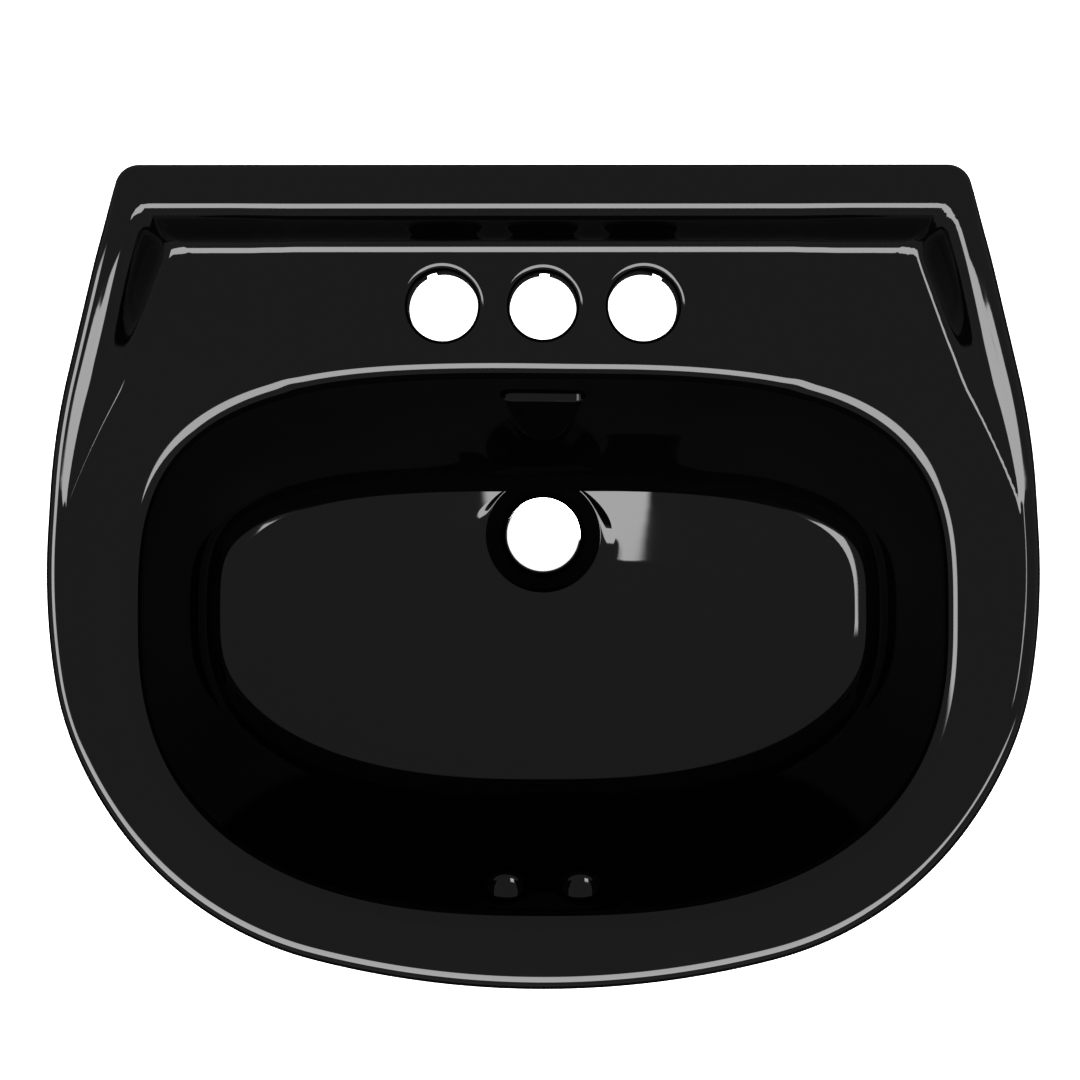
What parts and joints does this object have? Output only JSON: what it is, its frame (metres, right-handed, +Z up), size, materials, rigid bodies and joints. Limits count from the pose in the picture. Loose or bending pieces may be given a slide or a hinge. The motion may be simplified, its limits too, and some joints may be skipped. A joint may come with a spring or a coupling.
{
  "type": "pedestal sink",
  "caption": "Glazed china wash basin with a low back ledge on a hollow pedestal, with wall bolts, floor brackets and open faucet and drain holes.",
  "frame": {"origin": "on the floor, midway between the floor screws, which is under the centre of the drain hole", "axes": "+Z up, -Y to the front, +Y to the wall, +X to the right seen from the front"},
  "size_m": [0.504, 0.4359, 0.857],
  "materials": {
    "glazed_china": "gloss",
    "pad_rubber": "matte",
    "white_nylon": "satin",
    "black_plastic": "gloss",
    "zinc_steel": "zinc plated"
  },
  "bodies": {
    "root": {"basin": "glazed_china", "pedestal": "glazed_china", "front_left_pad": "pad_rubber", "front_right_pad": "pad_rubber", "back_left_pad": "pad_rubber", "back_right_pad": "pad_rubber", "left_wall_stud": "zinc_steel", "left_bolt_sleeve": "white_nylon", "left_bolt_washer": "zinc_steel", "left_bolt_nut": "zinc_steel", "left_nut_cap": "black_plastic", "left_floor_bracket": "white_nylon", "left_bracket_screw": "zinc_steel", "left_screw_sleeve": "white_nylon", "left_screw_cap": "black_plastic", "right_wall_stud": "zinc_steel", "right_bolt_sleeve": "white_nylon", "right_bolt_washer": "zinc_steel", "right_bolt_nut": "zinc_steel", "right_nut_cap": "black_plastic", "right_floor_bracket": "white_nylon", "right_bracket_screw": "zinc_steel", "right_screw_sleeve": "white_nylon", "right_screw_cap": "black_plastic"}
  },
  "joints": []
}
